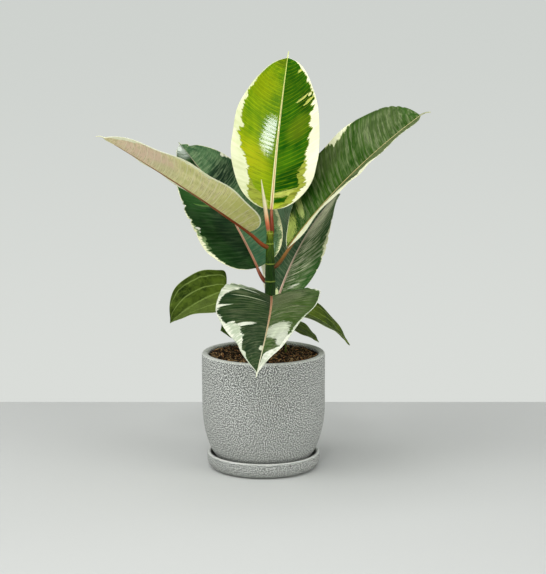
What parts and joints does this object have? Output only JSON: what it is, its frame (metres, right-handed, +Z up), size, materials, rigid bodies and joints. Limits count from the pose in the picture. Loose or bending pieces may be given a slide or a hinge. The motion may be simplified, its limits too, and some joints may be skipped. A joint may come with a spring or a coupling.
{
  "type": "potted rubber plant",
  "caption": "Young variegated rubber plant with large oval cream-edged leaves on an upright stem, in a round speckled ceramic pot on a saucer.",
  "frame": {"origin": "centre of the saucer's flat underside", "axes": "+Z up the plant, +X to the right and -Y towards the viewer when the long drooping leaf hangs over the front of the rim"},
  "size_m": [0.3877, 0.3266, 0.504],
  "materials": {
    "saucer_ceramic": "matt speckled grey stoneware",
    "pot_ceramic": "matt speckled grey stoneware",
    "potting_soil": "dark crumbly potting mix with bark and fibres",
    "green_stem": "smooth dark green with pale rings",
    "bud_sheath": "smooth, salmon red fading to cream",
    "young_leaf": "glossy bright green with a wide cream margin",
    "variegated_leaf": "semi-gloss dark and grey green with a cream margin",
    "leaf_stalk": "smooth red-brown",
    "heart_leaf": "soft satin plain green"
  },
  "bodies": {
    "root": {"saucer": "saucer_ceramic", "pot": "pot_ceramic", "soil": "potting_soil", "stem": "green_stem", "bud_sheath": "bud_sheath", "blade_top": "young_leaf", "blade_left": "variegated_leaf", "blade_rear_left": "variegated_leaf", "blade_right": "variegated_leaf", "blade_rear_right": "variegated_leaf", "blade_front": "variegated_leaf", "stalk_top": "leaf_stalk", "stalk_left": "leaf_stalk", "stalk_rear_left": "leaf_stalk", "stalk_right": "leaf_stalk", "stalk_rear_right": "leaf_stalk", "stalk_front": "leaf_stalk", "heart_left": "heart_leaf", "heart_left_low": "heart_leaf", "heart_right": "heart_leaf", "heart_right_low": "heart_leaf"}
  },
  "joints": []
}
